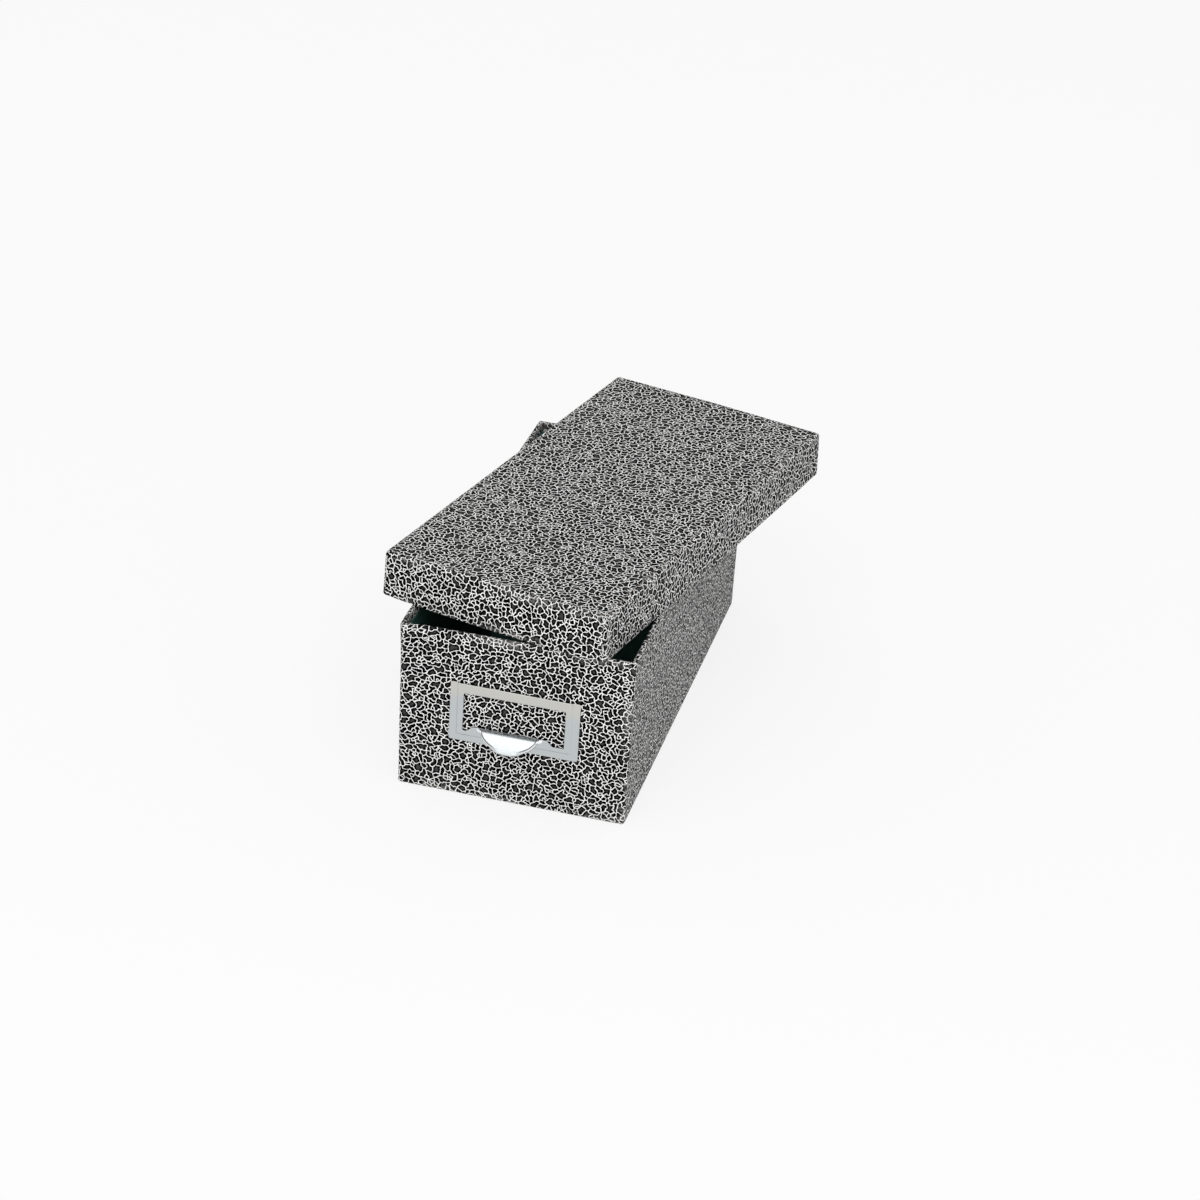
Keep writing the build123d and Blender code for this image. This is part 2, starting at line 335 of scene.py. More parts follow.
def ramp(tree, value, low, high, outLow=0.0, outHigh=1.0):
    ends = {"Value": value, "From Min": low, "From Max": high, "To Min": outLow, "To Max": outHigh}
    return addNode(tree, "ShaderNodeMapRange", ends, interpolation_type="SMOOTHSTEP").outputs["Result"]


def blendColours(tree, share, first, second):
    # Sockets 0, 6 and 7 of a colour mix are its factor and its two colours
    return addNode(tree, "ShaderNodeMix", {0: share, 6: first, 7: second}, data_type="RGBA").outputs[2]


def noise(tree, place, scale, detail=2.0, dimensions="3D", roughness=0.5, output="Fac"):
    sizes = {"Vector": place, "Scale": scale, "Detail": detail, "Roughness": roughness}
    return addNode(tree, "ShaderNodeTexNoise", sizes, noise_dimensions=dimensions).outputs[output]


def flatCells(tree, place, scale):
    # Colour and seed place of the cells of a flat Voronoi pattern
    inputs = {"Vector": place, "Scale": scale}
    return addNode(tree, "ShaderNodeTexVoronoi", inputs, voronoi_dimensions="2D").outputs


def splitVector(tree, vector):
    return addNode(tree, "ShaderNodeSeparateXYZ", {0: vector}).outputs


def objectPlace(tree):
    return addNode(tree, "ShaderNodeTexCoord").outputs["Object"]


def attribute(tree, name):
    return addNode(tree, "ShaderNodeAttribute", attribute_name=name).outputs["Fac"]


def newGroup(name, inputs, outputs):
    group = bpy.data.node_groups.new(name, "ShaderNodeTree")
    for label, value in inputs.items():
        kind = "NodeSocketVector" if value is None else "NodeSocketFloat"
        socket = group.interface.new_socket(name=label, in_out="INPUT", socket_type=kind)
        if value is not None:
            socket.default_value = value
    for label in outputs:
        group.interface.new_socket(name=label, in_out="OUTPUT", socket_type="NodeSocketFloat")
    return group, group.nodes.new("NodeGroupInput").outputs, group.nodes.new("NodeGroupOutput").inputs


def useGroup(tree, group, **inputs):
    made = addNode(tree, "ShaderNodeGroup", node_tree=group)
    for label, value in inputs.items():
        feed(tree, made.inputs[label], value)
    return made.outputs


def newMaterial(name):
    material = bpy.data.materials.new(name)
    material.use_nodes = True
    return material, material.node_tree, material.node_tree.nodes["Principled BSDF"].inputs


def bumpFrom(tree, surface, height, distance):
    bump = addNode(tree, "ShaderNodeBump", {"Height": height, "Distance": distance})
    tree.links.new(bump.outputs[0], surface["Normal"])


# Effects shared by the materials


def buildIslandNumber():
    # The number of the island a place lies in. A place takes the number of the coarse cell round the seed of
    # its own fine cell, so an island is a clump of fine cells with a crooked outline; some cells stay alone
    group, given, result = newGroup("islandNumber", {"Place": None, "Clump": 0.6, "Alone": 0.05}, ["Number"])
    fine = flatCells(group, given["Place"], 1.0)
    coarse = flatCells(group, fine["Position"], given["Clump"])
    chance, shared = splitVector(group, fine["Color"]), splitVector(group, coarse["Color"])[0]
    alone = maths(group, "LESS_THAN", chance[0], given["Alone"])
    own = times(group, alone, plus(group, chance[1], 1.0))
    group.links.new(plus(group, shared, own), result["Number"])
    return group


veinSearch = {
    "bends": ((0.7, 0.5), (2.2, 0.25)),  # scale and push of the noises that bend the cells, in fine cells
    "looks": 6,  # places looked at on a ring
    "ringTurns": {"vein": 0.3, "rim": 0.8},  # angle of a ring's first look
    "widthDrift": (0.8, 1.15),  # least and greatest share of a vein's width over the sheet
}


def buildVeins():
    # Marbling: crooked dark islands parted by pale veins. A vein is where a step of half its width in one of
    # a few directions lands on another island; a core is at least the rim's width away from other islands
    inputs = {"Sheet": None, "Fineness": 480.0, "Vein": 0.12, "Rim": 0.55, "Clump": 0.6, "Alone": 0.05}
    group, given, result = newGroup("marbleVeins", inputs, ["Vein", "Core"])
    net = vectorMaths(group, "SCALE", given["Sheet"], given["Fineness"])
    bent = net
    for scale, amount in veinSearch["bends"]:
        cloud = noise(group, bent, scale, 1.0, "2D", output="Color")
        push = vectorMaths(group, "SUBTRACT", cloud, (0.5, 0.5, 0.5))
        bent = vectorMaths(group, "ADD", bent, vectorMaths(group, "SCALE", push, amount))

    def islandAt(place):
        clumping = {"Clump": given["Clump"], "Alone": given["Alone"]}
        return useGroup(group, islandNumber, Place=place, **clumping)["Number"]

    def othersAround(radius, start):
        # Share of the places on a ring that lie in another island
        found = 0.0
        for k in range(veinSearch["looks"]):
            a = start + k * 2 * pi / veinSearch["looks"]
            step = vectorMaths(group, "SCALE", (cos(a), sin(a), 0.0), radius)
            apart = maths(group, "SUBTRACT", islandAt(vectorMaths(group, "ADD", bent, step)), here)
            other = maths(group, "GREATER_THAN", maths(group, "ABSOLUTE", apart), 0.0001)
            found = plus(group, found, maths(group, "DIVIDE", other, float(veinSearch["looks"])))
        return found

    here = islandAt(bent)
    width = ramp(group, noise(group, net, 0.5, 1.0, "2D"), 0.3, 0.7, *veinSearch["widthDrift"])
    veined = othersAround(times(group, given["Vein"], width), veinSearch["ringTurns"]["vein"])
    rimmed = othersAround(given["Rim"], veinSearch["ringTurns"]["rim"])
    group.links.new(maths(group, "GREATER_THAN", veined, 0.05), result["Vein"])
    group.links.new(ramp(group, rimmed, 0.0, 0.3, 1.0, 0.0), result["Core"])
    return group


def buildPaperGrain():
    # Felted fibres: Height joins a fine cloudy noise and a stretched one, Tone is a slow cloud
    group, given, result = newGroup("paperGrain", {"Place": None, "Fibres": 900.0}, ["Height", "Tone"])
    fine = noise(group, given["Place"], given["Fibres"], 3.0)
    stretched = vectorMaths(group, "MULTIPLY", given["Place"], (1.0, 0.35, 0.6))
    fibres = noise(group, stretched, given["Fibres"], 2.0)
    fine, fibres = times(group, fine, 0.6), times(group, fibres, 0.4)
    group.links.new(plus(group, fine, fibres), result["Height"])
    group.links.new(noise(group, given["Place"], 60.0, 2.0), result["Tone"])
    return group


def buildEdgeRub():
    # Scuffing where a sheet is folded: the rub mark broken up by noise
    group, given, result = newGroup("edgeRub", {"Place": None, "Amount": 0.3}, ["Rubbed"])
    spots = noise(group, given["Place"], 700.0, 3.0, roughness=0.65)
    patches = plus(group, noise(group, given["Place"], 45.0, 1.0), 0.5)
    broken = ramp(group, times(group, spots, patches), 0.52, 0.66)
    shadeAndHighlight = times(group, broken, attribute(group, "rub"))
    group.links.new(times(group, shadeAndHighlight, given["Amount"]), result["Rubbed"])
    return group


islandNumber = buildIslandNumber()
marbleVeins = buildVeins()
paperGrain = buildPaperGrain()
edgeRub = buildEdgeRub()

# Marbled paper of both wraps and the underside

marbled = {
    "fineness": 460.0,  # fine cells to the metre
    "vein": 0.115,  # half a vein's width in fine cells
    "rim": 0.75,  # width of an island's dark rim in fine cells
    "clump": 0.56,
    "alone": 0.05,
    "white": (0.95, 0.95, 0.94, 1),
    "ink": (0.0, 0.0, 0.0, 1),
    "core": (0.052, 0.051, 0.05, 1),
    "rubbed": (0.55, 0.54, 0.51, 1),
    "roughness": (0.5, 0.62),
    "shine": 0.02,
    "bump": 0.03 * mm,
    "rub": 0.35,  # share of the scuffed colour at its strongest
}


def makeMarbledPaper(name, onSheet):
    material, tree, surface = newMaterial(name)
    place = objectPlace(tree)
    sheet = addNode(tree, "ShaderNodeUVMap", uv_map="sheet").outputs[0] if onSheet else place
    sizes = {label.capitalize(): marbled[label] for label in ("fineness", "vein", "rim", "clump", "alone")}
    veins = useGroup(tree, marbleVeins, Sheet=sheet, **sizes)
    grain = useGroup(tree, paperGrain, Place=place)
    rubbed = useGroup(tree, edgeRub, Place=place, Amount=marbled["rub"])["Rubbed"]
    island = blendColours(tree, veins["Core"], marbled["ink"], marbled["core"])
    printed = blendColours(tree, veins["Vein"], island, marbled["white"])
    tree.links.new(blendColours(tree, rubbed, printed, marbled["rubbed"]), surface["Base Color"])
    tree.links.new(ramp(tree, grain["Tone"], 0.3, 0.7, *marbled["roughness"]), surface["Roughness"])
    surface["Specular IOR Level"].default_value = marbled["shine"]
    bumpFrom(tree, surface, grain["Height"], marbled["bump"])
    return material


marbledPaper = makeMarbledPaper("marbled_paper", True)
undersidePaper = makeMarbledPaper("underside_paper", False)

# Plain papers and board

plainPapers = {  # darker and lighter colour, fibres to the metre, bump and roughness
    "dark_lining": ((0.035, 0.108, 0.09, 1), (0.053, 0.14, 0.118, 1), 700.0, 0.05 * mm, (0.6, 0.75)),
    "fibreboard": ((0.16, 0.12, 0.08, 1), (0.33, 0.27, 0.2, 1), 420.0, 0.08 * mm, (0.8, 0.92)),
    "kraft_tape": ((0.5, 0.36, 0.21, 1), (0.58, 0.44, 0.28, 1), 900.0, 0.04 * mm, (0.6, 0.75)),
}


def makePlainPaper(name):
    darker, lighter, fibres, bump, roughness = plainPapers[name]
    material, tree, surface = newMaterial(name)
    grain = useGroup(tree, paperGrain, Place=objectPlace(tree), Fibres=fibres)
    cloud, speck = times(tree, grain["Tone"], 0.6), times(tree, grain["Height"], 0.4)
    shade = ramp(tree, plus(tree, cloud, speck), 0.38, 0.62)
    tree.links.new(blendColours(tree, shade, darker, lighter), surface["Base Color"])
    tree.links.new(ramp(tree, grain["Tone"], 0.3, 0.7, *roughness), surface["Roughness"])
    bumpFrom(tree, surface, grain["Height"], bump)
    return material


darkLining = makePlainPaper("dark_lining")
fibreboard = makePlainPaper("fibreboard")
kraftTape = makePlainPaper("kraft_tape")

# Plated steel of the label holder

plating = {
    # painted reflection: a warm tint for the upper plating and a cool one for the lower
    "warmReflection": (0.6, 0.595, 0.56, 1),
    "coolReflection": (0.54, 0.57, 0.58, 1),
    # painted shade: near-black colour laid into the crease of the pull's folded lips
    "creaseShade": (0.012, 0.013, 0.015, 1),
    # painted highlight: pale colour laid on the pull's folded lips
    "highlightColour": (0.86, 0.88, 0.89, 1),
    "reflectionTintFrom": (62 * mm, 73 * mm),  # heights between which the painted reflection tint turns from cool to warm
    "drift": 20 * mm,  # how far those heights wander
    "brushing": (0.12, 1.0, 1.0),  # rolling lines run across
    "lineScale": 2600.0,
    "roughness": (0.3, 0.42),
    "bump": 0.01 * mm,
}


def makePlatedSteel():
    material, tree, surface = newMaterial("plated_steel")
    place = objectPlace(tree)
    brushed = vectorMaths(tree, "MULTIPLY", place, plating["brushing"])
    lines = noise(tree, brushed, plating["lineScale"], 3.0, roughness=0.6)
    cloud = maths(tree, "SUBTRACT", noise(tree, place, 70.0, 2.0), 0.5)
    height = plus(tree, splitVector(tree, place)[2], times(tree, cloud, plating["drift"]))
    # Painted reflection: the plating is tinted cool below and warm above, by height
    reflectionTint = ramp(tree, height, *plating["reflectionTintFrom"])
    unshaded = blendColours(tree, reflectionTint, plating["coolReflection"], plating["warmReflection"])
    # Painted highlight: the pull's folded lips are lightened
    unshaded = blendColours(tree, attribute(tree, "lipHighlight"), unshaded, plating["highlightColour"])
    # Painted shade: the pull's lip crease is darkened towards near black
    shadeAndHighlight = blendColours(tree, attribute(tree, "crease"), unshaded, plating["creaseShade"])
    tree.links.new(shadeAndHighlight, surface["Base Color"])
    surface["Metallic"].default_value = 1.0
    tree.links.new(ramp(tree, lines, 0.3, 0.7, *plating["roughness"]), surface["Roughness"])
    bumpFrom(tree, surface, lines, plating["bump"])
    return material


platedSteel = makePlatedSteel()
print("materials ready")

# Covering of the base: one strip round the walls, over the rim and under the floor

baseWrap = {
    "floorRadius": 1.2 * mm,
    "rimRadius": 0.95 * mm,
    "turnIn": 8 * mm,
    "turnUnder": 12 * mm,
    "seamFromCorner": 11 * mm,  # on the rear wall, before its left corner
    "lapStep": 0.16 * mm,
    "lapWidth": 14 * mm,
    "lapEdge": 0.3 * mm,  # how far the paper takes to step up over the lap
    "wave": 0.1 * mm,
    "rowStep": 5 * mm,
    "rubWidth": 1.8 * mm,
}
facePlane = 0.1 * mm  # how close to a wall's face a row counts as lying on it


def makeBaseWrap():
    # A closed section of the sheet, carried once round the tray, with waves and one lap on its outside
    low, high, wall = baseTray["low"], baseTray["high"], wallThickness
    floorR, rimR, step = baseWrap["floorRadius"], baseWrap["rimRadius"], baseWrap["rowStep"]
    front = joinRuns(
        run((baseWrap["turnUnder"], low), (floorR, low), step),
        bend((floorR, low + floorR), floorR, -90, -180, 6),
        run((0, low + floorR), (0, high - rimR), step),
        bend((rimR, high - rimR), rimR, 180, 90, 5),
        run((rimR, high), (wall - rimR, high), step),
        bend((wall - rimR, high - rimR), rimR, 90, 0, 5),
        run((wall, high - rimR), (wall, high - baseWrap["turnIn"]), step / 2),
    )
    inset, height, travel, face = paperSection(front, paperThickness)
    rearLength = 2 * (baseTray["halfWidth"] - cornerRadius)
    seamPlace = rearLength - baseWrap["seamFromCorner"]
    loop = trayLoop(baseTray, {2: [seamPlace, seamPlace - baseWrap["lapEdge"]]})
    turns = loop["travel"]
    seam = int(abs(turns - (turns[np.flatnonzero(loop["side"] == 2)[0]] + seamPlace)).argmin())
    before = turns[seam] - turns[:-1]  # distance still to go to the seam
    lap = smoothStep(0, baseWrap["lapEdge"], before) * (1 - smoothStep(0, baseWrap["lapWidth"], before))
    lap = baseWrap["lapStep"] * lap
    onWall = face * (inset < facePlane) * smoothStep(low + floorR, low + 3 * floorR, height)
    onWall = onWall * (1 - smoothStep(high - 4 * mm, high - rimR, height))
    waves = paperWaves(turns[:-1], travel, baseWrap["wave"])
    points = settleBase(loopPoints(baseTray, loop, inset - onWall * (waves + lap), height))
    # Past the seam the paper counts from its far end, so the marbling meets again at the front left corner
    past = np.where(np.arange(len(turns) - 1) >= seam, turns[-1], 0)
    u, v = faceCorners(turns[:-1] - past, turns[1:] - past, travel, np.roll(travel, -1, 0))
    rub = edgeNearness(loop, inset, height, travel, baseWrap["rubWidth"]).ravel()
    quads, uv = quadGrid(len(travel), len(turns) - 1, True, True), np.stack([u, v], -1)
    piece = makePiece("base_wrap_paper", points.reshape(-1, 3), quads, marbledPaper, uv, {"rub": rub})
    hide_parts("base_wrap")
    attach(piece, "base")


makeBaseWrap()

# Covering of the lid: one cut-out sheet over the top, its skirts meeting at the corners

lidWrap = {
    "topRadius": 2.2 * mm,
    "rimRadius": 0.95 * mm,
    "turnIn": 8 * mm,
    "lapStep": 0.14 * mm,
    "lapWidth": 12 * mm,
    "lapEdge": 0.4 * mm,
    "wave": 0.1 * mm,
    "rowStep": 4 * mm,
    "rubWidth": 1.8 * mm,
    "sheetPlace": (0.31, 0.17),  # where the lid's sheet lies on the marbled stock
}


def makeLidWrap():
    # The skirts' closed section carried once round the lid, and the flat of the top as a grid
    high, wall = lidTray["high"], wallThickness
    topR, rimR, step = lidWrap["topRadius"], lidWrap["rimRadius"], lidWrap["rowStep"]
    front = joinRuns(
        run((wall, lidWrap["turnIn"]), (wall, rimR), step / 2),
        bend((wall - rimR, rimR), rimR, 0, -90, 5),
        run((wall - rimR, 0), (rimR, 0), step),
        bend((rimR, rimR), rimR, -90, -180, 5),
        run((0, rimR), (0, high - topR), step),
        bend((topR, high - topR), topR, 180, 90, 6),
        run((topR, high), (cornerRadius + 1 * mm, high), step),
    )
    inset, height, travel, face = paperSection(front, paperThickness)
    loop = trayLoop(lidTray)
    turns, side = loop["travel"], loop["side"]
    straight = ~loop["onBend"]
    starts = np.array([turns[:-1][(side == i) & straight].min() for i in range(4)])
    ends = np.array([turns[:-1][(side == i) & straight].max() for i in range(4)])
    # The end skirts' paper laps over the flaps of the long skirts beside each corner
    fromEnd = np.minimum(turns[:-1] - starts[side], ends[side] - turns[:-1])
    lap = smoothStep(0, lidWrap["lapEdge"], fromEnd) * (1 - smoothStep(1 * mm, lidWrap["lapWidth"], fromEnd))
    lap = lidWrap["lapStep"] * lap * straight * (side % 2 == 0)
    onSkirt = face * (inset < facePlane) * (1 - smoothStep(high - 2 * topR, high - topR, height))
    waves = paperWaves(turns[:-1] + 0.4, travel, lidWrap["wave"])
    points = loopPoints(lidTray, loop, inset - onSkirt * (waves + lap), height)
    quads = quadGrid(len(travel), len(side), False, True)
    # Unfolded, each skirt continues the top outwards; a corner bend belongs to the long skirt beside it
    sheet = np.where(straight, side, np.where(side < 2, 1, 3))
    middle = ((starts + ends) / 2)[sheet]
    half = np.where(sheet % 2 == 0, lidTray["halfLength"], lidTray["halfWidth"]) - cornerRadius
    outward = travel.max() - travel[:-1], travel.max() - travel[1:]
    u, v = faceCorners(turns[:-1] - middle, turns[1:] - middle, half + outward[0], half + outward[1])
    place = u[..., None] * sideAlong[sheet][:, None] + v[..., None] * sideOut[sheet][:, None]
    # The flat of the top, on the same stations, above and below
    acrossX = np.sort(points[-1, (side == 0) & straight, 0])
    acrossY = np.sort(points[-1, (side == 1) & straight, 1])
    flatX, flatY = np.meshgrid(acrossX, acrossY)
    over = np.stack([flatX, flatY, np.full(flatX.shape, high)], -1).reshape(-1, 3)
    flatQuads = quadGrid(len(acrossY), len(acrossX))
    under = over - np.array([0, 0, paperThickness])
    count = len(points) * len(side)
    allPoints = np.vstack([points.reshape(-1, 3), over, under])
    allQuads = np.vstack([quads, flatQuads + count, flatQuads[:, ::-1] + count + len(over)])
    flatPlace = [over[flatQuads][..., :2], under[flatQuads[:, ::-1]][..., :2]]
    uv = np.vstack([place.reshape(-1, 4, 2), *flatPlace]) + np.array(lidWrap["sheetPlace"])
    rub = edgeNearness(loop, inset, height, travel, lidWrap["rubWidth"])
    rub = np.concatenate([rub.ravel(), np.zeros(2 * len(over))])
    piece = makePiece("lid_wrap_paper", placeLid(allPoints), allQuads, marbledPaper, uv, {"rub": rub})
    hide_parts("lid_wrap")
    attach(piece, "lid")


makeLidWrap()
print("wraps folded")

# Dark linings, lapped a little over the turned-in marbled paper

linings = {"lap": 1.6 * mm, "lapSlope": 0.7 * mm, "lapStep": 1 * mm, "wave": 0.08 * mm, "rowStep": 5 * mm}
prongFoot = {"reach": 6 * mm, "width": 4 * mm, "spacing": 22 * mm, "bump": 0.28 * mm, "soft": 0.9 * mm}


def wallLining(top, bottom, lapped):
    # Front line of a lining, top to bottom, stepping over the turned-in edge at the lapped end
    wall, proud = wallThickness, wallThickness + paperThickness
    lap, past, step = linings["lap"], linings["lap"] + linings["lapSlope"], linings["rowStep"]
    if lapped == "top":
        return joinRuns(
            run((proud, top), (proud, top - lap), linings["lapStep"]),
            run((proud, top - lap), (wall, top - past), step),
            run((wall, top - past), (wall, bottom), step),
        )
    return joinRuns(
        run((wall, top), (wall, bottom + past), step),
        run((wall, bottom + past), (proud, bottom + lap), step),
        run((proud, bottom + lap), (proud, bottom), linings["lapStep"]),
    )


def makeLining(name, node, tray, front, body, place, shaped, marks=None):
    # A closed section carried once round the tray, its face moved in by waves and by what shaped adds
    inset, height, travel, face = paperSection(front, paperThickness)
    loop = trayLoop(tray, marks)
    waves = paperWaves(loop["travel"][:-1] + 0.9, travel, linings["wave"])
    flat = face * (abs(inset - wallThickness) < facePlane)
    points = loopPoints(tray, loop, inset + flat * (abs(waves) + shaped(loop, height)), height)
    quads = quadGrid(len(travel), len(loop["side"]), True, True)
    piece = makePiece(name, place(points.reshape(-1, 3)), quads, darkLining)
    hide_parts(node)
    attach(piece, body)


def prongBumps(loop, height):
    # The label holder's four bent-over prongs show through the lining of the front wall, each as a smooth
    # step across the prong's width times one along its reach
    x = loop["travel"][:-1] - loop["travel"][:-1][(loop["side"] == 0) & ~loop["onBend"]].max() / 2
    centreHeight = (holderLow.z + holderHigh.z) / 2
    soft, bump = prongFoot["soft"] / 2, 0
    dx = abs(abs(x) - holderHigh.x + prongFoot["reach"] / 2) - prongFoot["reach"] / 2
    for tall in (-1, 1):
        dz = abs(height - centreHeight - tall * prongFoot["spacing"] / 2) - prongFoot["width"] / 2
        bump = bump + (1 - smoothStep(-soft, soft, dx)) * (1 - smoothStep(-soft, soft, dz))
    return prongFoot["bump"] * bump * (loop["side"] == 0)


def noBumps(loop, height):
    return 0


holderLow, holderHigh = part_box("label_holder")
frontHalf = baseTray["halfWidth"] - cornerRadius
prongReaches = np.arange(-1, 8) * mm  # extra stations across a prong, from its bend inwards
prongColumns = [frontHalf + sign * (holderHigh.x - reach) for sign in (-1, 1) for reach in prongReaches]

baseLiningTop = wrapHigh.z - baseWrap["turnIn"] + linings["lap"]
baseLiningLine = wallLining(baseLiningTop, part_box("base_wall_lining")[0].z, "top")
makeLining("base_wall_lining_paper", "base_wall_lining", baseTray, baseLiningLine,
           "base", settleBase, prongBumps, {0: prongColumns})

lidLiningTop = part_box("lid_top_lining")[1].z - lidTray["centre"][2]
lidLiningLine = wallLining(lidLiningTop, lidWrap["turnIn"] - linings["lap"], "bottom")
makeLining("lid_wall_lining_paper", "lid_wall_lining", lidTray, lidLiningLine, "lid", placeLid, noBumps)


# Boards and corner tapes that settle with the paper over them

boardCut = 7 * mm  # spacing of the cuts that let a board follow a bow
lidAxes = Matrix.Rotation(-lidTray["turn"], 4, "Z") @ Matrix.Translation(-Vector(lidTray["centre"]))
baseAxes = Matrix.Identity(4)


def settledCopy(node, material, body, axes, place):
    # The frame's own board in its tray's axes, cut across every few millimetres, then placed like the paper
    shape = bmesh.new()
    shape.from_mesh(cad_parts[node].data)
    bmesh.ops.remove_doubles(shape, verts=shape.verts, dist=weldWithin / 2)
    shape.transform(axes)
    corners = np.array([v.co for v in shape.verts])
    for axis in range(3):
        low, high = corners[:, axis].min(), corners[:, axis].max()
        for cut in np.linspace(low, high, max(1, round((high - low) / boardCut)) + 1)[1:-1]:
            point, normal = [0, 0, 0], [0, 0, 0]
            point[axis], normal[axis] = cut, 1
            everything = shape.verts[:] + shape.edges[:] + shape.faces[:]
            bmesh.ops.bisect_plane(shape, geom=everything, plane_co=point, plane_no=normal)
    mesh = bpy.data.meshes.new(node + "_settled")
    shape.to_mesh(mesh)
    shape.free()
    points = place(np.array([v.co for v in mesh.vertices]))
    mesh.vertices.foreach_set("co", points.astype(np.float32).ravel())
    mesh.materials.append(material)
    piece = intoScene(node + "_settled", mesh)
    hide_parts(node)
    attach(piece, body)


for side in ("top", "front", "rear", "left", "right"):
    settledCopy(f"lid_{side}_board", fibreboard, "lid", lidAxes, placeLid)
for corner in ("front_left", "front_right", "rear_left", "rear_right"):
    settledCopy(f"lid_stay_{corner}", kraftTape, "lid", lidAxes, placeLid)
settledCopy("lid_top_lining", darkLining, "lid", lidAxes, placeLid)
for side in ("front", "left", "right"):
    settledCopy(f"base_{side}_board", fibreboard, "base", baseAxes, settleBase)
for corner in ("front_left", "front_right"):
    settledCopy(f"base_stay_{corner}", kraftTape, "base", baseAxes, settleBase)


# Pieces of the base whose shape is already right

def dress(node, material):
    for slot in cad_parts[node].material_slots:
        slot.material = material


dress("base_bottom_board", fibreboard)
dress("base_rear_board", fibreboard)
dress("base_stay_rear_left", kraftTape)
dress("base_stay_rear_right", kraftTape)
dress("base_floor_lining", darkLining)
dress("base_bottom_sheet", undersidePaper)
print("linings and boards in place")

# Label holder: one stamping, drawn on the front face as x to the right and y up from its centre

holder = {
    "cornerRadius": 1 * mm,
    "metal": 0.5 * mm,
    "flange": 4.2 * mm,
    "cardRoom": 0.9 * mm,
    "stepWidth": 0.9 * mm,
    "stepRadius": 1.6 * mm,
    "windowHalf": 31 * mm,
    "topRail": 6.2 * mm,
    "bottomRail": 7.5 * mm,
    "windowRadius": 0.7 * mm,
    "earFoot": (26.4 * mm, 0.0),  # distance from the pull's middle, rise over the window's lower edge
    "earTop": (23.2 * mm, 3.0 * mm),
    "earPeak": (20.8 * mm, 3.6 * mm),
    "earSoftness": 0.6 * mm,
    "pullPlace": -2.1 * mm,  # the pull stands a little left of the middle
    "acrossStep": 0.35 * mm,
    "alongStep": 1.0 * mm,
}
holderSize, holderMiddle = holderHigh - holderLow, (holderHigh + holderLow) / 2
holder["half"] = np.array([holderSize.x, holderSize.z]) / 2
holder["centre"] = Vector((holderMiddle.x, -baseTray["halfLength"], holderMiddle.z))
windowLow = holder["bottomRail"] - holder["half"][1]
windowHigh = holder["half"][1] - holder["topRail"]
chordHeight = windowLow + holder["earPeak"][1]


def onFront(x, y, out):
    # Holder coordinates to frame coordinates
    centre = holder["centre"]
    return np.stack([centre.x + x, centre.y - out, centre.z + y], -1)


def roundCorners(points, half, middle, radius):
    # A point is drawn in to radius from the rectangle shrunk by the radius
    away = points - middle
    core = np.clip(away, -(half - radius), half - radius)
    rest = away - core
    length = np.maximum(np.linalg.norm(rest, axis=-1, keepdims=True), 1e-9)
    return middle + core + radius * rest / length


def windowEdge(x):
    # Lower edge of the window: level, up over an ear and level again where the pull starts, straight between
    # the ear's points and softened by a mean over a short width
    places, rises = np.array([holder[k] for k in ("earPeak", "earTop", "earFoot")]).T
    away = abs(x - holder["pullPlace"])
    pushes = holder["earSoftness"] * np.linspace(-1, 1, 7)
    return windowLow + np.mean([np.interp(away + push, places, rises) for push in pushes], 0)


def holderStations():
    # Matching points of the outer edge and the window, anticlockwise from the lower left
    half, window = holder["half"], holder["windowHalf"]
    middleHeight = (windowLow + windowHigh) / 2
    across = np.linspace(-1, 1, round(2 * window / holder["alongStep"]) + 1)[:-1]
    up = np.linspace(-1, 1, round((windowHigh - windowLow) / holder["alongStep"]) + 1)[:-1]
    ones = np.ones(len(across)), np.ones(len(up))
    windowHalf = np.array([window, (windowHigh - windowLow) / 2])
    unit = np.vstack([
        np.stack([across, -ones[0]], 1), np.stack([ones[1], up], 1),
        np.stack([-across, ones[0]], 1), np.stack([-ones[1], -up], 1),
    ])
    outer = roundCorners(unit * half, half, np.zeros(2), holder["cornerRadius"])
    middle = np.array([0, middleHeight])
    inner = roundCorners(middle + unit * windowHalf, windowHalf, middle, holder["windowRadius"])
    lower = unit[:, 1] == -1
    inner[lower, 1] += windowEdge(inner[lower, 0]) - windowLow
    return outer, inner


def raisedLip(x, y):
    # Height of the stamping's face: a flange at the sides and below, a lip inside it, open at the top.
    # The step follows the distance to a soft-cornered rectangle that runs out past the top edge
    half, flange, radius = holder["half"], holder["flange"], holder["stepRadius"]
    dx = abs(x) - (half[0] - flange - radius)
    dy = -y - (half[1] - flange - radius)
    outside = np.hypot(np.maximum(dx, 0), np.maximum(dy, 0)) + np.minimum(np.maximum(dx, dy), 0) - radius
    rise = 1 - smoothStep(-holder["stepWidth"], 0, outside)
    return holder["metal"] + holder["cardRoom"] * rise


def makeHolderPlate():
    # From outer edge to window on the face, round the window's edge, back behind, and round the outer edge
    outer, inner = holderStations()
    width = np.linalg.norm(inner - outer, axis=1, keepdims=True)
    edge = holder["metal"] / 2
    a = np.linspace(pi / 2, -pi / 2, 6)[1:-1]
    share = np.linspace(0, 1, round(float(width.min()) / holder["acrossStep"]) + 1)
    face = edge + share * (width - 2 * edge)
    atWindow, atOuter = width - edge + edge * np.cos(a), 0 * width + edge - edge * np.cos(a[::-1])
    distance = np.hstack([face, atWindow, face[:, ::-1], atOuter])
    turned = edge * np.sin(a)
    depth = np.concatenate([0 * share, edge - turned, 0 * share + 2 * edge, edge + turned])
    flat = outer[:, None] + (inner - outer)[:, None] / width[:, None] * distance[..., None]
    out = raisedLip(flat[..., 0], flat[..., 1]) - depth
    return onFront(flat[..., 0], flat[..., 1], out)


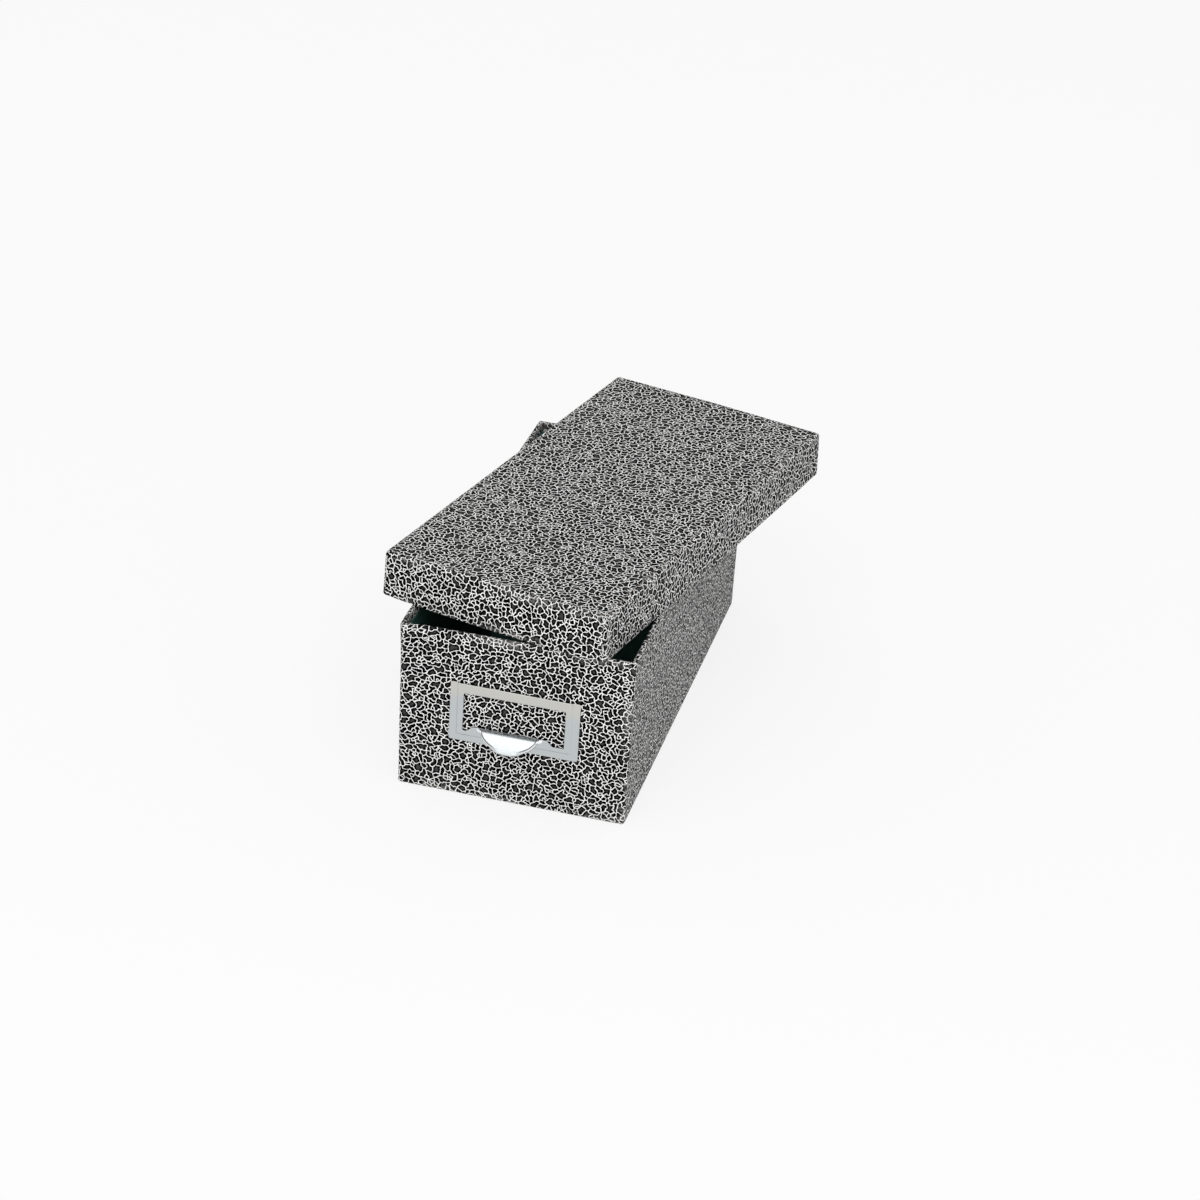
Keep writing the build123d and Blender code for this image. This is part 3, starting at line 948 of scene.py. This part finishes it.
pull = {
    "rootHalf": 20.8 * mm,  # half its width where it leaves the window's edge
    "faceHalf": 17.3 * mm,  # half its width at the end of the shelf
    "shelf": 3.8 * mm,
    "faceLength": 9.6 * mm,
    "facePower": 1.25,  # 1 is half an ellipse, more draws in its sides
    "slopes": (4.0, 12.0, 52.0, 68.0),  # degrees below level on the way out
    "slopesAt": (0.0, 1.8 * mm, 3.4 * mm, 13.4 * mm),  # distances from the plate
    "lip": {"width": 1.6 * mm, "turn": 48.0, "crease": 0.38 * mm, "depth": 0.15 * mm},
    "lipBand": (0.3, 0.65),  # shares of faceHalf between which the lips fold up
    "lipRoot": 1.2 * mm,
    "hemRadius": 0.6 * mm,
    "hemTurn": 82.0,
    "hemDepth": 1.0 * mm,
    "hemGrowth": (0.2 * mm, 2 * mm),  # reach at which the hem starts and is whole
    "faceSteps": 80,
    "sideSteps": 8,
    "outSteps": 44,
    "pathSteps": 300,
    "hemSteps": 6,
}


def pullOutline():
    # The flat blank: x across and reach from the plate. A shelf narrows evenly, then the face is a half-moon,
    # faceLength * (cos a)^facePower at x = faceHalf * sin a
    a = np.linspace(-pi / 2, pi / 2, pull["faceSteps"] + 1)
    side = np.linspace(pull["rootHalf"], pull["faceHalf"], pull["sideSteps"] + 1)[:-1]
    sideReach = pull["shelf"] * (pull["rootHalf"] - side) / (pull["rootHalf"] - pull["faceHalf"])
    faceReach = pull["shelf"] + pull["faceLength"] * np.clip(np.cos(a), 0, 1) ** pull["facePower"]
    x = np.concatenate([-side, pull["faceHalf"] * np.sin(a), side[::-1]])
    return x[:, None], np.concatenate([sideReach, faceReach, sideReach[::-1]])[:, None]


def runningSum(values, places):
    # Integral of values along places, from the first place to each
    return np.concatenate([[0], np.cumsum((values[1:] + values[:-1]) / 2 * np.diff(places))])


def makePullTongue():
    # The blank bent out like an awning. A column's path is the running sum of its slope's cosine and sine.
    # Along both sides a lip folds back by lip turn, with a crease where it meets the face, and the hem turns
    # on from there, square to the edge, until it faces inwards
    x, reach = pullOutline()
    way = np.linspace(0, pull["slopesAt"][-1], pull["pathSteps"])
    slope = np.radians(np.interp(way, pull["slopesAt"], pull["slopes"]))
    distance = np.linspace(0, 1, pull["outSteps"] + 1) * reach
    pathOut = np.interp(distance, way, runningSum(np.cos(slope), way))
    pathDown = np.interp(distance, way, runningSum(np.sin(slope), way))
    tilt = np.interp(distance, way, slope)
    body = np.stack([x + 0 * distance, pathOut, -pathDown], -1)  # across, out and up
    facing = np.stack([0 * tilt, np.sin(tilt), np.cos(tilt)], -1)

    # Lips
    square, lip = -squareTo(np.hstack([x, reach]))[:, None], pull["lip"]
    inside = (reach - distance) * square[..., 1]
    atSide = smoothStep(*pull["lipBand"], abs(x) / pull["faceHalf"])
    atSide = atSide * smoothStep(0, pull["lipRoot"], distance)
    crease = atSide * np.exp(-(((inside - lip["width"]) / lip["crease"]) ** 2))
    along = np.stack([0 * tilt, np.cos(tilt), -np.sin(tilt)], -1)
    outward = square[..., :1] * np.array([1.0, 0, 0]) + square[..., 1:] * along
    folded = radians(lip["turn"]) * atSide
    beyond = np.maximum(lip["width"] - inside, 0)
    sunk = beyond * np.sin(folded) + lip["depth"] * crease
    body -= sunk[..., None] * facing + (beyond * (1 - np.cos(folded)))[..., None] * outward
    onFace = smoothStep(lip["width"] - lip["crease"], lip["width"] + lip["crease"], inside)
    bent = (folded * (1 - onFace))[..., None]
    bentFacing = np.cos(bent) * facing + np.sin(bent) * outward
    outward = np.cos(bent) * outward - np.sin(bent) * facing
    facing = bentFacing

    # Hem, then the back of the whole sheet
    edge, edgeFacing, edgeOutward = body[:, -1:], facing[:, -1:], outward[:, -1:]
    size = smoothStep(*pull["hemGrowth"], reach)[..., None]
    turn = (radians(pull["hemTurn"]) - bent[:, -1:]) * np.linspace(0, 1, pull["hemSteps"] + 1)[1:][:, None]
    hem = edge + size * pull["hemRadius"] * (np.sin(turn) * edgeOutward - (1 - np.cos(turn)) * edgeFacing)
    hemFacing = np.cos(turn) * edgeFacing + np.sin(turn) * edgeOutward
    inward = (np.cos(turn) * edgeOutward - np.sin(turn) * edgeFacing)[:, -1:]
    deep = hem[:, -1:] + size * np.array([0.5, 1.0])[:, None] * pull["hemDepth"] * inward
    front = np.concatenate([body, hem, deep], 1)
    normals = np.concatenate([facing, hemFacing, hemFacing[:, -1:], hemFacing[:, -1:]], 1)
    back = front - holder["metal"] * normals
    ring = np.concatenate([front, back[:, ::-1]], 1)
    # The crease mask paints shade into the lips' crease, and the fold mask paints a highlight on the folded
    # lips
    masks = {}
    for label, mask in (("crease", crease), ("lipHighlight", (bent / radians(lip["turn"]))[..., 0])):
        onRing = np.repeat(mask[:, -1:], ring.shape[1], 1)
        onRing[:, :mask.shape[1]] = mask
        masks[label] = onRing.ravel()
    out = holder["metal"] + holder["cardRoom"] + ring[..., 1]
    return onFront(holder["pullPlace"] + ring[..., 0], chordHeight + ring[..., 2], out), masks


prong = {"bendRadius": 0.6 * mm, "step": 0.5 * mm, "thinness": 0.9, "taper": 6}
prongCorners = np.array([(1, -1), (1, -0.8), (1, 0.8), (1, 1), (-1, 1), (-1, 0.8), (-1, -0.8), (-1, -1)])


def makeProng(sideX, sideY):
    # A strip through the wall, bent over behind it towards the middle: a flat section carried along an L,
    # its thickness drawn in at both ends as min(1, taper * sin a)
    metal, bendR, step, corner = holder["metal"], prong["bendRadius"], prong["step"], prongCorners
    deep = wallThickness - paperThickness - metal / 2
    x0 = holder["half"][0] - metal / 2
    path = joinRuns(
        run((x0, metal / 2), (x0, -deep + bendR), step),
        bend((x0 - bendR, -deep + bendR), bendR, 0, -90, 4),
        run((x0 - bendR, -deep), (holder["half"][0] - prongFoot["reach"], -deep), step),
    )
    drawnIn = np.minimum(1, prong["taper"] * np.sin(np.linspace(0, pi, len(path))))
    thick = metal / 2 * prong["thinness"] * drawnIn
    spot = path[:, None] + squareTo(path)[:, None] * (corner[:, 0] * thick[:, None])[..., None]
    wide = sideY * prongFoot["spacing"] / 2 + corner[:, 1] * (prongFoot["width"] / 2) * (thick > 0)[:, None]
    return onFront(sideX * spot[..., 0], wide, spot[..., 1])


def makeLabelHolder():
    # One mesh of plate, pull and four prongs; only the pull's own points carry painted shade and painted
    # highlight
    parts, faces, count = [], [], 0
    plate, (tongue, shadeAndHighlight) = makeHolderPlate(), makePullTongue()
    shells = [(plate, quadGrid(*plate.shape[:2], True, True))]
    shells.append((tongue, quadGrid(*tongue.shape[:2], False, True)))
    for sideX in (-1, 1):
        for sideY in (-1, 1):
            strip = makeProng(sideX, sideY)
            shells.append((strip, quadGrid(*strip.shape[:2], False, True)[:, ::sideX]))
    for grid, quads in shells:
        parts.append(grid.reshape(-1, 3))
        faces.append(quads + count)
        count += grid.shape[0] * grid.shape[1]
    before, after = len(parts[0]), count - len(parts[0]) - len(parts[1])
    shadeAndHighlight = {label: np.pad(mask, (before, after)) for label, mask in shadeAndHighlight.items()}
    piece = makePiece("label_holder_stamping", np.vstack(parts), np.vstack(faces), platedSteel, masks=shadeAndHighlight)
    shape = bmesh.new()
    shape.from_mesh(piece.data)
    bmesh.ops.recalc_face_normals(shape, faces=shape.faces)
    shape.to_mesh(piece.data)
    shape.free()
    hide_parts("label_holder")
    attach(piece, "base")


makeLabelHolder()
print("label holder stamped")

# Floor, light and camera

studio = {
    "floorHalf": 6.0,
    "floorColour": (0.9, 0.9, 0.9, 1),
    "whiteShare": 0.8,  # of the floor's own shade, what the lens sees as plain white
    "skyStrength": 0.74,
    "softbox": {"place": (0.3, -2.05, 1.6), "aim": (0.0, 0.0, 0.08), "size": 2.4, "power": 27.0},
}


def seenByLens(tree):
    path = addNode(tree, "ShaderNodeLightPath").outputs
    seen = plus(tree, path["Is Camera Ray"], path["Is Glossy Ray"])
    return maths(tree, "MINIMUM", plus(tree, seen, path["Is Transmission Ray"]), 1.0)


def makeFloor():
    material = bpy.data.materials.new("floor_sweep")
    material.use_nodes = True
    tree = material.node_tree
    tree.nodes.clear()
    matt = addNode(tree, "ShaderNodeBsdfDiffuse", {"Color": studio["floorColour"]}).outputs[0]
    white = addNode(tree, "ShaderNodeEmission", {"Color": (1, 1, 1, 1), "Strength": 1.0}).outputs[0]
    share = times(tree, seenByLens(tree), studio["whiteShare"])
    mixed = addNode(tree, "ShaderNodeMixShader", {0: share, 1: matt, 2: white}).outputs[0]
    addNode(tree, "ShaderNodeOutputMaterial", {"Surface": mixed})
    half = studio["floorHalf"]
    mesh = bpy.data.meshes.new("floor")
    corners = [(-half, -half, 0), (half, -half, 0), (half, half, 0), (-half, half, 0)]
    mesh.from_pydata(corners, [], [(0, 1, 2, 3)])
    mesh.materials.append(material)
    floor = intoScene("floor", mesh)


def makeSky():
    world = bpy.data.worlds.new("studio_sky")
    bpy.context.scene.world = world
    world.use_nodes = True
    tree = world.node_tree
    surface = tree.nodes["Background"].inputs
    tree.links.new(ramp(tree, seenByLens(tree), 0.0, 1.0, studio["skyStrength"], 1.0), surface["Strength"])
    surface["Color"].default_value = (1, 1, 1, 1)


def makeSoftbox():
    look = studio["softbox"]
    light = bpy.data.lights.new("softbox", "AREA")
    light.size = look["size"]
    light.energy = look["power"]
    lamp = intoScene("softbox", light)
    lamp.location = look["place"]
    lamp.rotation_euler = (Vector(look["place"]) - Vector(look["aim"])).to_track_quat("Z", "Y").to_euler()


lens = {
    "place": (0.40005, -1.69404, 1.01047),
    "turn": (61.4105, -3.5385, 14.8024),  # degrees about X, Y and Z
    "length": 95.34,
    "sensor": 36.0,
    "farthest": 50.0,
}


def makeCamera():
    data = bpy.data.cameras.new("camera")
    data.lens = lens["length"]
    data.sensor_width = lens["sensor"]
    data.clip_end = lens["farthest"]
    camera = intoScene("camera", data)
    camera.location = lens["place"]
    camera.rotation_euler = [radians(a) for a in lens["turn"]]
    bpy.context.scene.camera = camera


makeFloor()
makeSky()
makeSoftbox()
makeCamera()
bpy.context.scene.view_settings.view_transform = "Standard"
print("studio ready")
